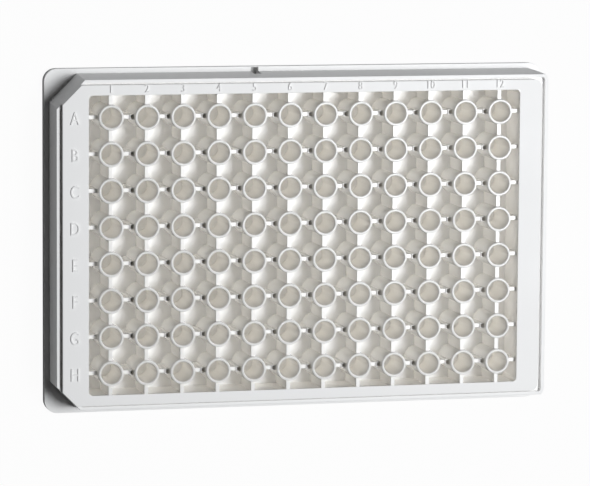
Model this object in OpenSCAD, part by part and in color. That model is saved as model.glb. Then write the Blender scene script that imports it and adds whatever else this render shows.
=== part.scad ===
// Half-area 96-well plate: a white moulded frame with tall round wells, and the thin clear
// film that closes the wells from below.
// The plate stands on z = 0, centred on the origin. +X runs from column 1 to column 12,
// +Y towards row A and +Z up. Heights count from the table unless a name says otherwise.

/* [Footprint] */
// Length of the base flange, column 1 to column 12
plate_l = 127.76; // [124:0.01:154]
// Width of the base flange, row A to row H
plate_w = 85.48; // [83:0.01:103]
// Height from the table to the rims of the wells
plate_h = 14.35; // [11.5:0.05:17.5]
// Height of the base flange
flange_h = 2.4; // [1.6:0.1:3]
// Radius of the flange's four corners
flange_r = 3.2; // [1.5:0.1:5]

/* [Skirt] */
// Shelf from the flange's edge in to the foot of the skirt
skirt_inset = 1.25; // [0.8:0.05:1.6]
// Thickness of the skirt
skirt_wall = 1.2; // [0.8:0.05:1.6]
// Lean of the two long walls, in degrees
long_lean = 5; // [0:0.5:6]
// Radius of the skirt's two right-hand corners
skirt_r = 2.8; // [1:0.1:4]
// Leg of the corner cut off beside well A1 and beside well H1
corner_cut = 6.8; // [4:0.1:8.5]
// Lean of the cut corner beside well A1, in degrees
corner_lean_a = 4.5; // [0:0.5:6]
// Lean of the cut corner beside well H1, in degrees
corner_lean_h = 0; // [0:0.5:6]

/* [Lid seat and deck] */
// Depth of the lid seat below the well rims
seat_drop = 2.1; // [1.6:0.05:3]
// Thickness of the seat under its groove
seat_t = 1.2; // [0.8:0.05:1.6]
// Width of the seat along the two long sides, at the seat's own height
seat_side = 1.2; // [1:0.05:1.6]
// Width of the seat along the column 1 side
seat_left = 1.25; // [1:0.05:1.7]
// Width of the seat along the column 12 side
seat_right = 2.1; // [1:0.05:2.4]
// Width of the lip that is left standing at the seat's outer edge
lip_w = 0.8; // [0.4:0.05:0.9]
// Depth of the groove between the lip and the deck
groove_deep = 1.1; // [0.2:0.05:1.2]
// Depth of the deck below the well rims
deck_drop = 0.85; // [0.3:0.05:1.5]
// Thickness of the deck
deck_t = 1.2; // [0.8:0.05:1.6]
// Radius of the deck's two right-hand corners
deck_r = 1.8; // [0.8:0.1:3]

/* [Well grid] */
// Number of columns
columns = 12; // [2:1:12]
// Number of rows
rows = 8; // [2:1:8]
// Distance from well to well
pitch = 9; // [7.5:0.05:9.2]
// Distance from the outer wells' centres to the edge of the deck
field_margin = 5.4; // [4:0.05:5.6]
// Radius of the field's corners
field_r = 1; // [0.5:0.1:2]
// Thickness of the wall that hangs from the deck around the field
field_wall = 1.1; // [0.8:0.05:1.5]

/* [Wells] */
// Diameter of a well at its mouth
well_mouth = 4.95; // [4.1:0.05:5.2]
// Diameter of a well at the film
well_floor = 4.5; // [3.6:0.05:4.9]
// Thickness of the chimney's wall at the mouth
chimney_wall = 0.65; // [0.5:0.05:0.8]
// Chamfer on the rim's two edges
rim_edge = 0.2; // [0.05:0.01:0.22]
// Thickness of the webs that join the chimneys
web_t = 0.95; // [0.7:0.05:1.2]
// Depth below the well rims of the webs that run from row to row
web_drop = 1; // [0.9:0.05:2]
// Depth below the well rims of the webs that run from column to column
row_web_drop = 2.2; // [2.2:0.05:3]

/* [Pips] */
// Outer size of the small square pip at the left of each chimney from column 2 on
pip_size = 1.25; // [1.15:0.05:1.5]
// Size of the square blind hole in the pip
pip_hole = 0.85; // [0.5:0.05:0.9]
// Depth of the blind hole
pip_deep = 6; // [1:0.1:8]
// Depth that the hole cuts into the chimney's outside
pip_bite = 0.1; // [0.05:0.01:0.2]
// Depth of the pip's top below the well rims
pip_drop = 1.8; // [1:0.05:2.2]

/* [Film] */
// Clearance from the table to the film
film_clear = 2.6; // [2:0.05:3.2]
// Thickness of the film
film_t = 0.2; // [0.15:0.01:0.3]
// Gap between the edge of the film and the skirt-side face of the field wall
film_setback = 0.3; // [0.1:0.05:0.5]

/* [Side notch] */
// Place of the notch along the row A side, from the plate's middle
notch_x = -10.8; // [-30:0.1:30]
// Width of the notch
notch_w = 1.9; // [1:0.1:3]
// Height of the notch's top above the table
notch_h = 6; // [4:0.1:8.5]
// Part of the flange's depth that the notch leaves closed at its outer edge
notch_lip = 0.2; // [0.15:0.05:0.6]

/* [Hidden] */
$fn = 96;
tiny = 0.01;
frame_color = [0.93, 0.93, 0.92];
film_color = [0.86, 0.9, 0.92, 0.4];

// outlines, measured across the whole plate
skirt_l = plate_l - 2 * skirt_inset;
skirt_w = plate_w - 2 * skirt_inset;
field_l = (columns - 1) * pitch + 2 * field_margin;
field_w = (rows - 1) * pitch + 2 * field_margin;
well_box_l = field_l + 2 * field_wall;
well_box_w = field_w + 2 * field_wall;

// heights
film_top = film_clear + film_t;
seat_z = plate_h - seat_drop;
deck_z = plate_h - deck_drop;
web_z = plate_h - web_drop;
row_web_z = plate_h - row_web_drop;
pip_z = plate_h - pip_drop;

// the long walls lean in by this much from their foot to the seat
seat_z_lean = (seat_z - flange_h) * tan(long_lean);
deck_w = skirt_w - 2 * seat_z_lean - 2 * seat_side;
deck_left = skirt_l / 2 - seat_left;
deck_right = skirt_l / 2 - seat_right;
chimney_r = well_mouth / 2 + chimney_wall;
// X of the middle of a pip's hole, from the middle of its well
pip_x = pip_bite - chimney_r - pip_hole / 2;

// A rectangle with round corners, centred.
module round_rect(l, w, r) {
    square([l - 2 * r, w], center = true);
    square([l, w - 2 * r], center = true);
    for (sx = [-1, 1], sy = [-1, 1])
        translate([sx * (l / 2 - r), sy * (w / 2 - r)])
            circle(r);
}

// A rectangle from x = -left to x = right whose two right-hand corners are round.
module deck_rect(left, right, w, r) {
    translate([-left, -w / 2])
        square([left + right - r, w]);
    translate([right - 2 * r, -w / 2 + r])
        square([2 * r, w - 2 * r]);
    for (sy = [-1, 1])
        translate([right - r, sy * (w / 2 - r)])
            circle(r);
}

// Everything outside a wall that stands on the skirt's foot line at distance reach along the
// direction turn and leans in by lean degrees, moved in by inset.
module beyond_wall(turn, reach, lean, inset) {
    big = plate_l;
    rotate([0, 0, turn])
        translate([reach - inset / cos(lean), 0, flange_h])
            rotate([0, -lean, 0])
                translate([0, -big, -big / 2])
                    cube([big, 2 * big, big]);
}

// What the leaning walls cut away: both long sides and the corners beside A1 and H1.
module leaning_cuts(inset) {
    corner_reach = ((skirt_l + skirt_w) / 2 - corner_cut) / sqrt(2);
    for (side = [-1, 1])
        beyond_wall(side * 90, skirt_w / 2, long_lean, inset);
    beyond_wall(135, corner_reach, corner_lean_a, inset);
    beyond_wall(-135, corner_reach, corner_lean_h, inset);
}

// The skirt's outside, or with an inset the room behind its wall.
module skirt_block(inset, z_from, z_to) {
    difference() {
        translate([0, 0, z_from])
            linear_extrude(z_to - z_from)
                deck_rect(
                    skirt_l / 2 - inset, skirt_l / 2 - inset,
                    skirt_w - 2 * inset, skirt_r - inset
                );
        leaning_cuts(inset);
    }
}

// The raised deck, or with an inset the room under it.
module deck_block(inset, z_from, z_to) {
    difference() {
        translate([0, 0, z_from])
            linear_extrude(z_to - z_from)
                deck_rect(
                    deck_left - inset, deck_right - inset,
                    deck_w - 2 * inset, deck_r - inset / 2
                );
        leaning_cuts(inset);
    }
}

// The frame's outside, as a solid block. A groove runs along the foot of the deck.
module outer_block() {
    linear_extrude(flange_h)
        round_rect(plate_l, plate_w, flange_r);
    difference() {
        skirt_block(0, 0, seat_z);
        skirt_block(lip_w, seat_z - groove_deep, seat_z + 1);
    }
    deck_block(0, seat_z - 2 * groove_deep, deck_z);
}

// The hollow behind the skirt, open below. The field's wall is left standing in it. Beyond
// the two ends of the field the deck is wide, so the hollow reaches up to it there.
module under_hollow() {
    seat_under = seat_z - groove_deep - seat_t;
    difference() {
        union() {
            skirt_block(skirt_wall, -tiny, seat_under);
            difference() {
                deck_block(skirt_wall, seat_under - tiny, deck_z - deck_t);
                translate([-well_box_l / 2, -plate_w / 2, 0])
                    cube([well_box_l, plate_w, plate_h]);
            }
        }
        translate([0, 0, film_top])
            linear_extrude(plate_h)
                round_rect(well_box_l, well_box_w, field_r + field_wall);
    }
}

// The opening in the deck that shows the wells.
module field_opening() {
    linear_extrude(plate_h)
        round_rect(field_l, field_w, field_r);
}

// Places a child at the centre of every well.
module each_well() {
    for (col = [0 : columns - 1], row = [0 : rows - 1])
        translate([
            (col - (columns - 1) / 2) * pitch,
            (row - (rows - 1) / 2) * pitch,
            0
        ])
            children();
}

// The webs that run from row to row, and the lower ones that run from column to column.
module webs() {
    translate([0, 0, film_top]) {
        linear_extrude(web_z - film_top)
            for (col = [0 : columns - 1])
                translate([(col - (columns - 1) / 2) * pitch, 0])
                    square([web_t, field_w + field_wall], center = true);
        linear_extrude(row_web_z - film_top)
            for (row = [0 : rows - 1])
                translate([0, (row - (rows - 1) / 2) * pitch])
                    square([field_l + field_wall, web_t], center = true);
    }
}

// A square column about every pip's axis. The pips stand at the left of the chimneys from
// column 2 on.
module pip_columns(size, z_from, z_to) {
    for (col = [1 : columns - 1], row = [0 : rows - 1])
        translate([
            (col - (columns - 1) / 2) * pitch + pip_x,
            (row - (rows - 1) / 2) * pitch,
            (z_from + z_to) / 2
        ])
            cube([size, size, z_to - z_from], center = true);
}

// One chimney's outside, with the outer edge of its rim chamfered.
module chimney() {
    rotate_extrude()
        polygon([
            [0, film_top],
            [chimney_r, film_top],
            [chimney_r, plate_h - rim_edge],
            [chimney_r - rim_edge, plate_h],
            [0, plate_h]
        ]);
}

// The space inside one well, tapering to the film, with the inner edge of its rim chamfered.
module well_space() {
    mouth_r = well_mouth / 2;
    rotate_extrude()
        polygon([
            [0, film_top - 1],
            [well_floor / 2, film_top - 1],
            [well_floor / 2, film_top],
            [mouth_r, plate_h - rim_edge],
            [mouth_r + rim_edge, plate_h],
            [mouth_r + rim_edge, plate_h + 1],
            [0, plate_h + 1]
        ]);
}

// The upright slot in the shelf and wall on the row A side, open to the hollow behind.
module side_notch() {
    depth = skirt_inset - notch_lip + 2 * skirt_wall;
    translate([notch_x - notch_w / 2, plate_w / 2 - notch_lip - depth, -tiny])
        cube([notch_w, depth, notch_h]);
}

// The white moulding: flange, skirt, lid seat, deck, field wall, chimneys and webs.
module plate_frame() {
    color(frame_color)
        difference() {
            union() {
                difference() {
                    outer_block();
                    under_hollow();
                    field_opening();
                    side_notch();
                }
                webs();
                pip_columns(pip_size, film_top, pip_z);
                each_well()
                    chimney();
            }
            each_well()
                well_space();
            pip_columns(pip_hole, pip_z - pip_deep, pip_z + tiny);
        }
}

// The clear film, bonded to the undersides of the chimneys, the webs and the field wall.
module bottom_film() {
    color(film_color)
        translate([0, 0, film_clear])
            linear_extrude(film_t)
                round_rect(
                    well_box_l - 2 * film_setback, well_box_w - 2 * film_setback,
                    field_r + field_wall - film_setback
                );
}

plate_frame();
bottom_film();
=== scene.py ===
import math

import bpy
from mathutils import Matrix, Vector


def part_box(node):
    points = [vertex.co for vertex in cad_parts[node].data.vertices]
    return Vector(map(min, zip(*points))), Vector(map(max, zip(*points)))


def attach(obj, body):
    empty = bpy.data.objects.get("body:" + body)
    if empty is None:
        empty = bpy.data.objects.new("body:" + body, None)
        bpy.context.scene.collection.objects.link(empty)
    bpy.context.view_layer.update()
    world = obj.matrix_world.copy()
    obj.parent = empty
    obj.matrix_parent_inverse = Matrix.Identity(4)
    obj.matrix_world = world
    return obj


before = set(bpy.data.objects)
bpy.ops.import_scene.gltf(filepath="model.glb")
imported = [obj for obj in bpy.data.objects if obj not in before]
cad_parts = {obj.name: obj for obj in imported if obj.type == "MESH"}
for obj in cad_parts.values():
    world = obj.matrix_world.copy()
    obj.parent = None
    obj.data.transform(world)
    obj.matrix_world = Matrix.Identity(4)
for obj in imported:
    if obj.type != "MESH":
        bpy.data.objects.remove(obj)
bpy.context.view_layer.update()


# ---------------------------------------------------------------------------
# The moulded frame: flange, skirt, lid seat, deck, chimneys and webs in one piece.
# Opaque white polystyrene from a tool with a satin deck and a polished well block, whose colour
# is painted lighter and warmer as bounce light.
# It carries the film, the raised row letters and the raised column numbers.
# ---------------------------------------------------------------------------
class Signal:
    """One output socket of a node tree. Sums and products of signals add Math nodes."""

    def __init__(self, wiring, socket):
        self.wiring = wiring
        self.socket = socket

    def _math(self, operation, *values):
        return self.wiring.node("ShaderNodeMath", {"operation": operation}, values)

    def __add__(self, other):
        return self._math("ADD", self, other)

    __radd__ = __add__

    def __mul__(self, other):
        return self._math("MULTIPLY", self, other)

    __rmul__ = __mul__

    def __sub__(self, other):
        return self._math("SUBTRACT", self, other)

    def __rsub__(self, other):
        return self._math("SUBTRACT", other, self)

    def size(self):
        return self._math("ABSOLUTE", self)

    def rise(self, start, end):
        """0 below start, 1 above end, and a smooth step between them."""
        return self.wiring.node(
            "ShaderNodeMapRange",
            {"interpolation_type": "SMOOTHSTEP"},
            {"Value": self, "From Min": start, "From Max": end},
        )


class Wiring:
    """A node tree that is built up one node at a time."""

    def __init__(self, tree):
        self.tree = tree

    def node(self, kind, settings=None, sockets=(), output=0):
        made = self.tree.nodes.new(kind)
        for key, value in (settings or {}).items():
            setattr(made, key, value)
        pairs = sockets.items() if isinstance(sockets, dict) else enumerate(sockets)
        for key, value in pairs:
            if isinstance(value, Signal):
                self.tree.links.new(value.socket, made.inputs[key])
            elif isinstance(value, list):
                for part in value:
                    self.tree.links.new(part.socket, made.inputs[key])
            else:
                made.inputs[key].default_value = value
        return Signal(self, made.outputs[output])


class Finish(Wiring):
    """A surface material."""

    def __init__(self, name):
        self.material = bpy.data.materials.new(name)
        self.material.use_nodes = True
        super().__init__(self.material.node_tree)
        self.tree.nodes.clear()

    def place(self):
        return self.node("ShaderNodeTexCoord", output="Object")

    def along(self, axis):
        """The distance along X, Y or Z from the middle of the plate's base."""
        return self.node("ShaderNodeSeparateXYZ", None, [self.place()], "XYZ".index(axis))

    def noise(self, scale, detail):
        return self.node(
            "ShaderNodeTexNoise",
            None,
            {"Vector": self.place(), "Scale": scale, "Detail": detail},
            "Fac",
        )

    def mix_color(self, factor, low, high):
        return self.node("ShaderNodeMix", {"data_type": "RGBA"}, {0: factor, 6: low, 7: high}, 2)

    def surface(self, shader):
        out = self.tree.nodes.new("ShaderNodeOutputMaterial")
        self.tree.links.new(shader.socket, out.inputs["Surface"])
        return self.material


def patch(finish, middle, half_x, half_y):
    """1 inside a rectangle round middle and 0 beyond it, with a narrow blend at its edge."""
    blend = 0.0001
    past_x = (finish.along("X") - middle.x).size().rise(half_x - blend, half_x + blend)
    past_y = (finish.along("Y") - middle.y).size().rise(half_y - blend, half_y + blend)
    return (1 - past_x) * (1 - past_y)


film_low, film_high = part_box("bottom_film")
film_middle = (film_low + film_high) / 2
film_half = film_high - film_middle
film_under_wall = 0.0008
field_half_x = film_half.x - film_under_wall
field_half_y = film_half.y - film_under_wall


def white_polystyrene(name):
    """White moulded polystyrene, satin outside the well block and polished inside it, where its
    colour is a painted lighter and warmer white that stands in for light bounced round the
    wells.
    """
    moulded = Finish(name)
    # The well block mask sets both the real polish in the roughness and the painted warm bounce
    # light in the colour.
    polish_and_painted_bounce = patch(moulded, film_middle, field_half_x, field_half_y)
    flow = moulded.noise(60.0, 3.0)
    grain = moulded.noise(5200.0, 2.0)
    satin_white = moulded.mix_color(flow, (0.962, 0.957, 0.95, 1), (0.972, 0.968, 0.962, 1))
    # Painted bounce light: the well block gets a lighter, warmer white than the deck.
    painted_bounce_white = moulded.mix_color(flow, (0.99, 0.978, 0.956, 1), (0.995, 0.985, 0.965, 1))
    white = moulded.mix_color(polish_and_painted_bounce, satin_white, painted_bounce_white)
    soft_edge = moulded.node("ShaderNodeBevel", {"samples": 4}, {"Radius": 0.00015})
    relief = moulded.node(
        "ShaderNodeBump",
        None,
        {"Strength": 0.15, "Distance": 0.00004, "Height": grain, "Normal": soft_edge},
    )
    return moulded.surface(
        moulded.node(
            "ShaderNodeBsdfPrincipled",
            None,
            {
                "Base Color": white,
                "Roughness": 0.36 + 0.08 * flow - 0.2 * polish_and_painted_bounce,
                "IOR": 1.5,
                "Normal": relief,
            },
        )
    )


moulded_white = white_polystyrene("white_polystyrene")
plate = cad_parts["plate_frame"]
plate.data.materials.clear()
plate.data.materials.append(moulded_white)


# ---------------------------------------------------------------------------
# The row letters and column numbers: part of the same white moulding, raised a little
# from the deck, with the letters down the column 1 side and the numbers above row A.
# ---------------------------------------------------------------------------
def raised_marks():
    """A Geometry Nodes tree that lays out a row of letters, or of numbers from 1."""
    tree = bpy.data.node_groups.new("raised_marks", "GeometryNodeTree")
    for name, kind in (
        ("Letters", "NodeSocketString"),
        ("Numbered", "NodeSocketBool"),
        ("Count", "NodeSocketInt"),
        ("First", "NodeSocketVector"),
        ("Step", "NodeSocketVector"),
        ("Size", "NodeSocketFloat"),
        ("Narrowing", "NodeSocketVector"),
        ("Raise", "NodeSocketFloat"),
        ("Finish", "NodeSocketMaterial"),
    ):
        tree.interface.new_socket(name=name, in_out="INPUT", socket_type=kind)
    tree.interface.new_socket(name="Geometry", in_out="OUTPUT", socket_type="NodeSocketGeometry")
    marks = Wiring(tree)
    group = tree.nodes.new("NodeGroupInput")

    def given(name):
        return Signal(marks, group.outputs[name])

    each = tree.nodes.new("GeometryNodeRepeatInput")
    each_end = tree.nodes.new("GeometryNodeRepeatOutput")
    each.pair_with_output(each_end)
    tree.links.new(group.outputs["Count"], each.inputs["Iterations"])
    turn = Signal(marks, each.outputs["Iteration"])
    letter = marks.node(
        "FunctionNodeSliceString",
        None,
        {"String": given("Letters"), "Position": turn, "Length": 1},
    )
    number = marks.node("FunctionNodeValueToString", None, {"Value": turn + 1.0, "Decimals": 0})
    text = marks.node(
        "GeometryNodeSwitch", {"input_type": "STRING"}, [given("Numbered"), letter, number]
    )
    outline = marks.node(
        "GeometryNodeStringToCurves",
        {"align_x": "CENTER", "align_y": "MIDDLE"},
        {"String": text, "Size": given("Size"), "Character Spacing": 1.05},
    )
    outline = marks.node("GeometryNodeRealizeInstances", None, [outline])
    face = marks.node("GeometryNodeFillCurve", {"mode": "TRIANGLES"}, [outline])
    block = marks.node(
        "GeometryNodeExtrudeMesh",
        None,
        {"Mesh": face, "Offset Scale": given("Raise"), "Individual": False},
    )
    back = marks.node("GeometryNodeFlipFaces", None, [face])
    closed = marks.node("GeometryNodeJoinGeometry", None, [[block, back]])
    closed = marks.node(
        "GeometryNodeMergeByDistance", None, {"Geometry": closed, "Distance": 0.000001}
    )
    spot = marks.node(
        "ShaderNodeVectorMath",
        {"operation": "SCALE"},
        {"Vector": given("Step"), "Scale": turn},
    )
    spot = marks.node("ShaderNodeVectorMath", {"operation": "ADD"}, [given("First"), spot])
    placed = marks.node(
        "GeometryNodeTransform",
        None,
        {"Geometry": closed, "Translation": spot, "Scale": given("Narrowing")},
    )
    so_far = Signal(marks, each.outputs["Geometry"])
    gathered = marks.node("GeometryNodeJoinGeometry", None, [[so_far, placed]])
    tree.links.new(gathered.socket, each_end.inputs["Geometry"])
    whole = marks.node(
        "GeometryNodeRealizeInstances", None, [Signal(marks, each_end.outputs["Geometry"])]
    )
    coated = marks.node(
        "GeometryNodeSetMaterial", None, {"Geometry": whole, "Material": given("Finish")}
    )
    out = tree.nodes.new("NodeGroupOutput")
    tree.links.new(coated.socket, out.inputs["Geometry"])
    return tree


def grown(name, tree, values):
    """A plain mesh piece from a Geometry Nodes tree and its named inputs."""
    piece = bpy.data.objects.new(name, bpy.data.meshes.new(name + "_seed"))
    bpy.context.scene.collection.objects.link(piece)
    maker = piece.modifiers.new("maker", "NODES")
    maker.node_group = tree
    for item in tree.interface.items_tree:
        if item.item_type == "SOCKET" and item.in_out == "INPUT":
            maker[item.identifier] = values[item.name]
    evaluated = piece.evaluated_get(bpy.context.evaluated_depsgraph_get())
    made = bpy.data.meshes.new_from_object(evaluated)
    piece.modifiers.clear()
    piece.data = made
    made.name = name
    return piece


pitch = 0.009
first_column_x = film_middle.x - 5.5 * pitch
first_row_y = film_middle.y + 3.5 * pitch
plate_low, plate_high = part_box("plate_frame")
deck_z = plate_high.z - 0.00085
mark_foot = deck_z - 0.00005
mark_raise = 0.0003
letters_x = film_low.x - 0.0027
numbers_y = film_high.y + 0.0007
marks_tree = raised_marks()
row_letters = grown(
    "row_letters",
    marks_tree,
    {
        "Letters": "ABCDEFGH",
        "Numbered": False,
        "Count": 8,
        "First": (letters_x, first_row_y - 0.0003, mark_foot),
        "Step": (0.0, -pitch, 0.0),
        "Size": 0.0045,
        "Narrowing": (0.75, 1.0, 1.0),
        "Raise": mark_raise,
        "Finish": moulded_white,
    },
)
column_numbers = grown(
    "column_numbers",
    marks_tree,
    {
        "Letters": "",
        "Numbered": True,
        "Count": 12,
        "First": (first_column_x, numbers_y, mark_foot),
        "Step": (pitch, 0.0, 0.0),
        "Size": 0.0029,
        "Narrowing": (0.8, 1.0, 1.0),
        "Raise": mark_raise,
        "Finish": moulded_white,
    },
)
for mark in (row_letters, column_numbers):
    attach(mark, "root")


# ---------------------------------------------------------------------------
# The film that closes the wells: one milky polystyrene sheet, a fifth of a millimetre
# thick, bonded under every chimney and web. Little passes through it.
# ---------------------------------------------------------------------------
sheet = Finish("clear_film")
haze = sheet.noise(220.0, 4.0)
tint = sheet.node(
    "ShaderNodeBsdfPrincipled",
    None,
    {
        "Base Color": sheet.mix_color(haze, (0.985, 0.985, 0.985, 1), (0.992, 0.992, 0.992, 1)),
        "Roughness": 0.3,
        "Alpha": 0.93 + 0.06 * haze,
        "IOR": 1.5,
    },
)
gloss = sheet.node(
    "ShaderNodeBsdfAnisotropic", None, {"Color": (1, 1, 1, 1), "Roughness": 0.3 + 0.1 * haze}
)
glint = sheet.node("ShaderNodeFresnel", None, {"IOR": 1.5})
clear_film = sheet.surface(sheet.node("ShaderNodeMixShader", None, [glint, tint, gloss]))
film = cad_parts["bottom_film"]
film.data.materials.clear()
film.data.materials.append(clear_film)


# ---------------------------------------------------------------------------
# The table: a plain pale sheet that runs far past the plate and sends it no light of its
# own. Beside the plate the camera sees it white, with a trace of the plate's soft shadow.
# ---------------------------------------------------------------------------
table_top = Finish("pale_table")
seen = table_top.node("ShaderNodeLightPath", output="Is Camera Ray")
fibre = table_top.noise(30.0, 3.0)
plate_middle = (plate_low + plate_high) / 2
hidden_half_x = plate_high.x - 0.0035
hidden_half_y = plate_high.y - 0.0001
beside = 1 - patch(table_top, plate_middle, hidden_half_x, hidden_half_y)
glow = table_top.node("ShaderNodeEmission", None, {"Color": (1, 1, 1, 1), "Strength": 1.0})
paper_color = table_top.mix_color(fibre, (0.68, 0.68, 0.68, 1), (0.71, 0.71, 0.71, 1))
paper = table_top.node("ShaderNodeBsdfDiffuse", None, {"Color": paper_color})
whiteness = 0.96
pale_table = table_top.surface(
    table_top.node("ShaderNodeMixShader", None, [seen * beside * whiteness, paper, glow])
)
table_mesh = bpy.data.meshes.new("table")
reach = 3.0
table_mesh.from_pydata(
    [(-reach, -reach, 0), (reach, -reach, 0), (reach, reach, 0), (-reach, reach, 0)],
    [],
    [(0, 1, 2, 3)],
)
table_mesh.materials.append(pale_table)
table = bpy.data.objects.new("table", table_mesh)
bpy.context.scene.collection.objects.link(table)


# ---------------------------------------------------------------------------
# Light and camera: one soft lamp high on the column 12 side, a weak one beyond row A
# and an almost dark room.
# ---------------------------------------------------------------------------
def soft_lamp(name, place, aim, size, power, color):
    light = bpy.data.lights.new(name, "AREA")
    light.shape = "DISK"
    light.size = size
    light.energy = power
    light.color = color
    lamp = bpy.data.objects.new(name, light)
    bpy.context.scene.collection.objects.link(lamp)
    lamp.location = place
    lamp.rotation_mode = "QUATERNION"
    lamp.rotation_quaternion = (Vector(aim) - Vector(place)).to_track_quat("-Z", "Y")
    return lamp


soft_lamp("key_lamp", (0.43, 0.022, 1.12), (0.0, 0.0, 0.01), 0.46, 11.0, (0.97, 0.985, 1.0))
soft_lamp("rim_lamp", (0.3, 0.8, 0.14), (0.0, 0.0, 0.01), 0.3, 0.25, (0.97, 0.985, 1.0))

room = bpy.data.worlds.new("room")
room.use_nodes = True
room_tree = room.node_tree
room_tree.nodes.clear()
room_light = room_tree.nodes.new("ShaderNodeBackground")
room_light.inputs["Color"].default_value = (1.0, 1.0, 1.0, 1)
room_light.inputs["Strength"].default_value = 0.012
room_out = room_tree.nodes.new("ShaderNodeOutputWorld")
room_tree.links.new(room_light.outputs[0], room_out.inputs["Surface"])
bpy.context.scene.world = room

lens = bpy.data.cameras.new("camera")
lens.lens = 226.76
lens.sensor_width = 36.0
lens.clip_start = 0.01
lens.clip_end = 10.0
camera = bpy.data.objects.new("camera", lens)
bpy.context.scene.collection.objects.link(camera)
camera.location = (-0.2307, 0.11085, 0.89737)
camera.rotation_euler = tuple(math.radians(turn) for turn in (-7.0424, -14.3998, 0.3880))
bpy.context.scene.camera = camera
bpy.context.scene.view_settings.view_transform = "Standard"
bpy.context.scene.cycles.diffuse_bounces = 32
bpy.context.scene.cycles.max_bounces = 40
bpy.context.scene.cycles.transparent_max_bounces = 40
